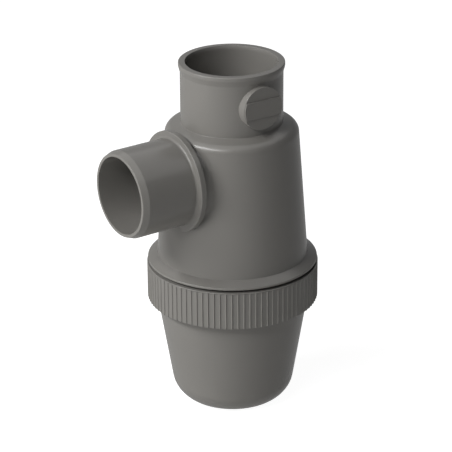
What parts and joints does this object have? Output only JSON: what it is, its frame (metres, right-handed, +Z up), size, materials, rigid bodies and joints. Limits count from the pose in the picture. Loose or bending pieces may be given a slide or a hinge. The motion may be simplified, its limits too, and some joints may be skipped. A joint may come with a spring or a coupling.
{
  "type": "basin trap",
  "caption": "Grey plastic bottle trap for a basin: upright inlet socket with a bell rim, side outlet spigot with a collar, and a screwed cup with a fluted ring and a flat washer.",
  "frame": {"origin": "centre of the cup's flat underside, on the axis of the body", "axes": "+Z up along the body towards the inlet socket, -X along the outlet spigot, the badge faces about -Y"},
  "size_m": [0.0997, 0.0786, 0.165],
  "materials": {
    "grey_pvc": "satin moulded rigid PVC",
    "black_rubber": "matt moulded rubber"
  },
  "bodies": {
    "trap": {"trap_body": "grey_pvc"},
    "washer": {"sealing_washer": "black_rubber"},
    "cup": {"cup": "grey_pvc"}
  },
  "joints": [
    {"name": "cup_drop", "type": "slide", "parent": "trap", "child": "washer", "axis": [0, 0, -1], "range_m": [0, 0.01]},
    {"name": "cup_turn", "type": "hinge", "parent": "washer", "child": "cup", "pos_m": [0, 0, 0], "axis": [0, 0, -1], "range_deg": [0, 900]}
  ],
  "couplings": [
    {"joint": "cup_drop", "follows": "cup_turn", "m_per_rad": 0.00063662}
  ]
}
